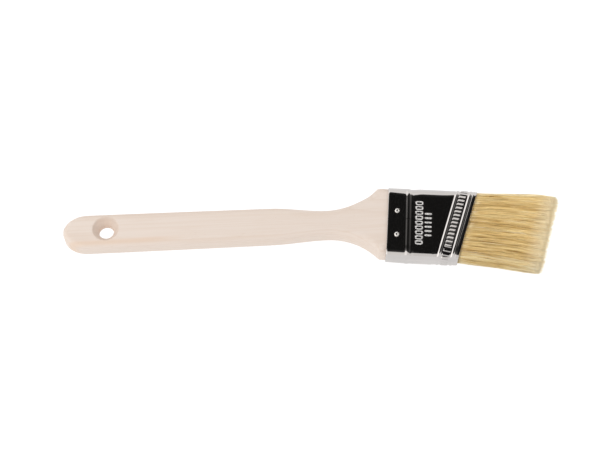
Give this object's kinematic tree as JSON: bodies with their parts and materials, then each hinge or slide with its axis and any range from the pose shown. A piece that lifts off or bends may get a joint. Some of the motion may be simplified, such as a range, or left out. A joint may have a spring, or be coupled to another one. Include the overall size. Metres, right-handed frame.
{
  "type": "angled paint brush",
  "caption": "Angled flat paint brush: wooden handle with a hanging hole, polished steel ferrule with beads and ropework, natural bristles cut on a slant.",
  "frame": {"origin": "centre of the hanging hole at half the handle's thickness", "axes": "+X along the handle from the hanging hole to the bristles, +Z out of the front face along the hanging hole, +Y across the width to the longer side of the slanted bristles"},
  "size_m": [0.2473, 0.0465, 0.0152],
  "materials": {
    "handle_wood": "sanded smooth, unvarnished",
    "ferrule_steel": "mirror-polished stainless sheet",
    "nail_steel": "polished",
    "resin": "clear set resin",
    "plug_wood": "rough-sawn",
    "bristle_roots": "bound natural bristle",
    "bristle": "natural bristle, paler at the tips"
  },
  "bodies": {
    "brush": {"handle": "handle_wood", "ferrule": "ferrule_steel", "nails": "nail_steel", "resin": "resin", "plug": "plug_wood", "bristles_front": "bristle_roots", "bristles_back": "bristle_roots"},
    "tuft": {"tuft": "bristle"}
  },
  "joints": [
    {"name": "tuft_flex", "type": "hinge", "parent": "brush", "child": "tuft", "pos_m": [0.18102, -0.00608, 0], "axis": [0.3392, 0.9407, 0], "range_deg": [-25, 25], "stiffness_Nm_per_rad": 0.25}
  ]
}
